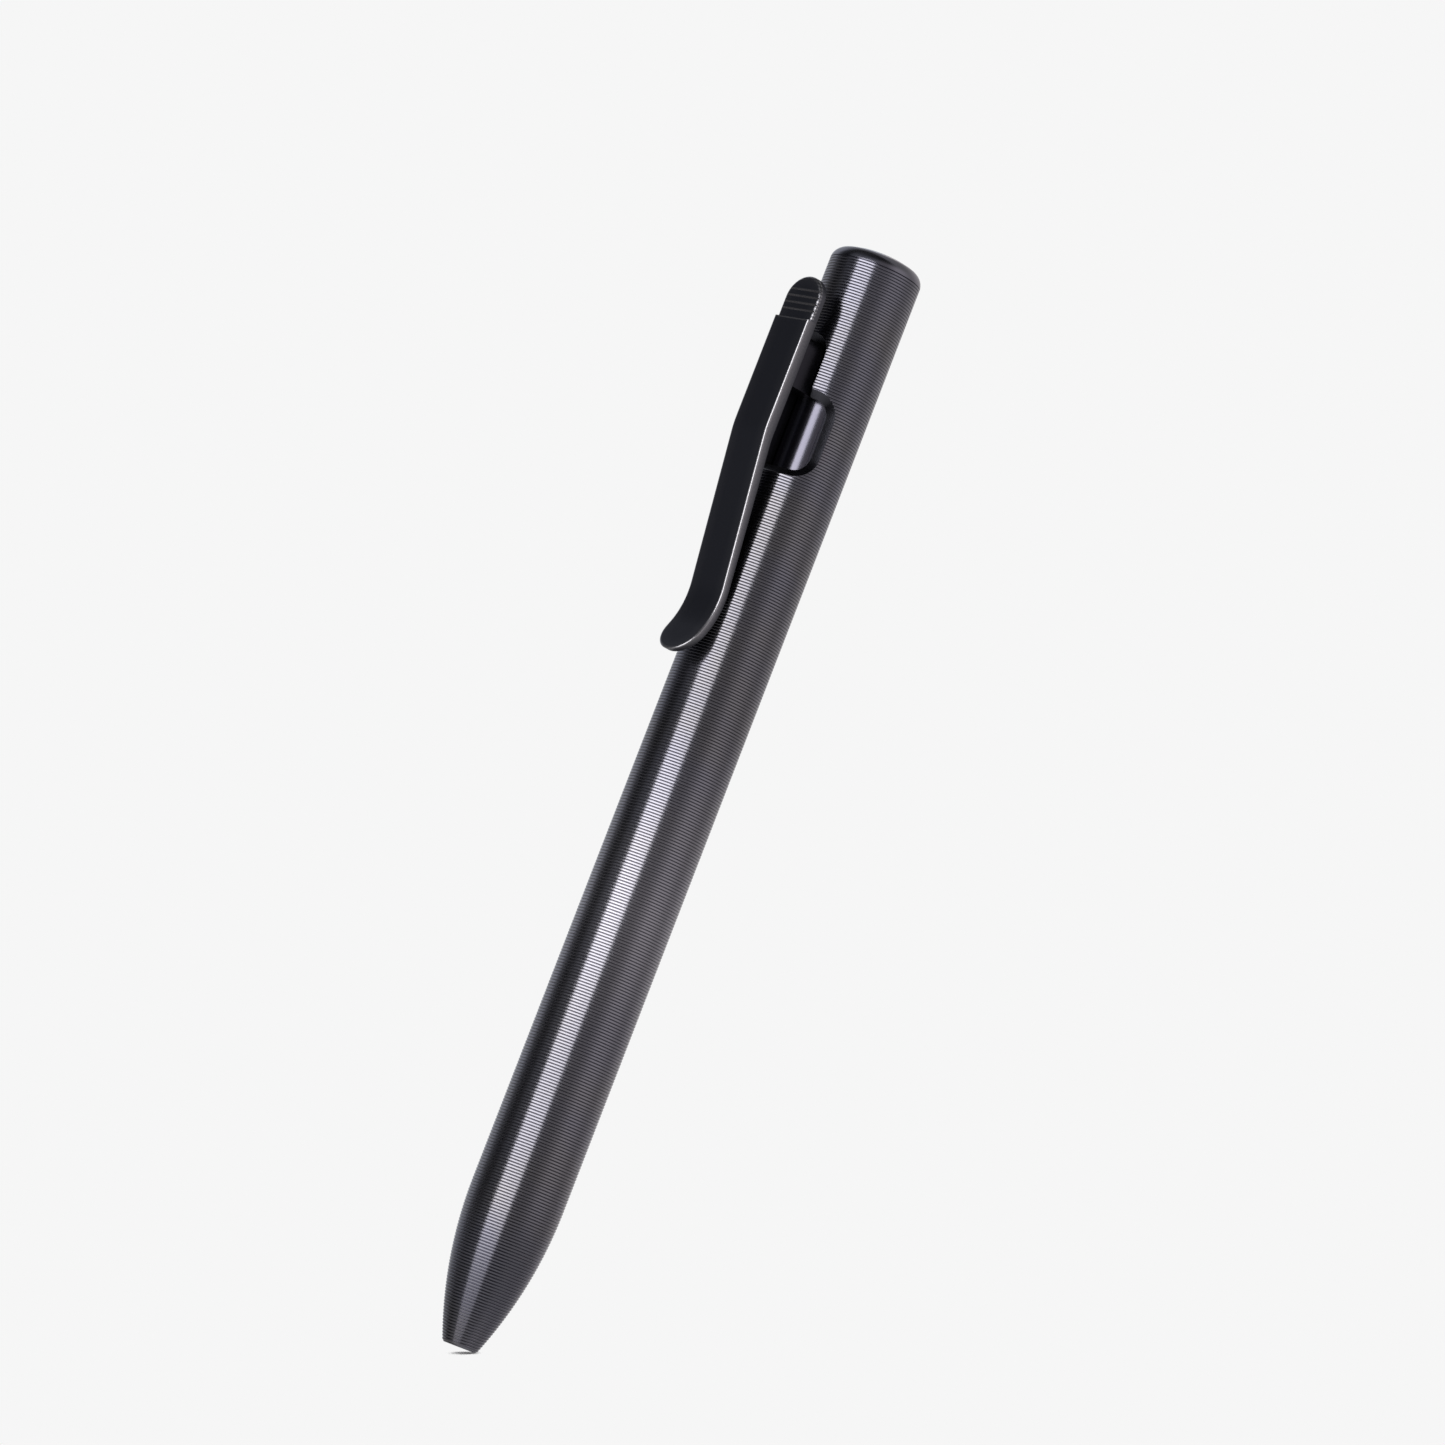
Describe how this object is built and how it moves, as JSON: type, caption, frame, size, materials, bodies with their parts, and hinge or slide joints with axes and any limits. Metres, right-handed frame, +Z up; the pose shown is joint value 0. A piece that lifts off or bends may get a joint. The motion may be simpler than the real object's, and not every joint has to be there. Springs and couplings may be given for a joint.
{
  "type": "clip action pen",
  "caption": "Slim ring-grooved metal pen whose pocket clip slides down a slot against a spring to push out a gel refill, with an unscrewing nose.",
  "frame": {"origin": "centre of the small flat face at the end of the nose, where the refill's point comes out", "axes": "the pen lies on its side: +X points out of the nose along the pen's axis, -Y is the side that the clip stands on, and +Z is up, on the side of the window"},
  "size_m": [0.1426, 0.0163, 0.0118],
  "materials": {
    "grooved_metal": "black hard coat over fine turned rings, glossy",
    "blasted_metal": "black hard coat over bead blasting, matte",
    "post_metal": "black hard coat, milled",
    "polished_steel": "polished",
    "screw_steel": "black oxide",
    "spring_steel": "bright drawn wire",
    "seal_rubber": "moulded, satin",
    "bumper_rubber": "moulded, matte",
    "guide_plastic": "turned acetal",
    "tube_plastic": "extruded, clear to milky",
    "ink_gel": "black gel ink",
    "follower_grease": "clear grease",
    "plug_plastic": "moulded",
    "point_steel": "turned, fine",
    "ball_carbide": "ground and polished"
  },
  "bodies": {
    "barrel": {"barrel_body": "grooved_metal", "top_bumper": "bumper_rubber", "refill_spring": "spring_steel"},
    "seal": {"nose_oring": "seal_rubber"},
    "nose": {"nose_section": "grooved_metal"},
    "carriage": {"slider_sleeve": "polished_steel", "guide_ring": "guide_plastic", "refill_seat": "guide_plastic", "clip": "blasted_metal", "clip_post": "post_metal", "clip_screws": "screw_steel", "retaining_screw": "screw_steel"},
    "refill": {"refill_tube": "tube_plastic", "refill_ink": "ink_gel", "refill_follower": "follower_grease", "refill_rear_plug": "plug_plastic", "refill_tip_holder": "plug_plastic", "refill_point": "point_steel", "writing_ball": "ball_carbide"}
  },
  "joints": [
    {"name": "clip_slide", "type": "slide", "parent": "barrel", "child": "carriage", "axis": [1, 0, 0], "range_m": [0, 0.0076], "stiffness_N_per_m": 400, "springref_m": -0.003},
    {"name": "refill_slide", "type": "slide", "parent": "barrel", "child": "refill", "axis": [1, 0, 0], "range_m": [0, 0.0076], "deforming": ["refill_spring"]},
    {"name": "nose_advance", "type": "slide", "parent": "barrel", "child": "seal", "axis": [1, 0, 0], "range_m": [0, 0.006]},
    {"name": "nose_turn", "type": "hinge", "parent": "seal", "child": "nose", "pos_m": [-0.032, 0, 0], "axis": [1, 0, 0], "range_deg": [0, 2880]}
  ],
  "couplings": [
    {"joint": "refill_slide", "follows": "clip_slide", "ratio": 1},
    {"joint": "nose_advance", "follows": "nose_turn", "m_per_rad": 0.00011937}
  ]
}
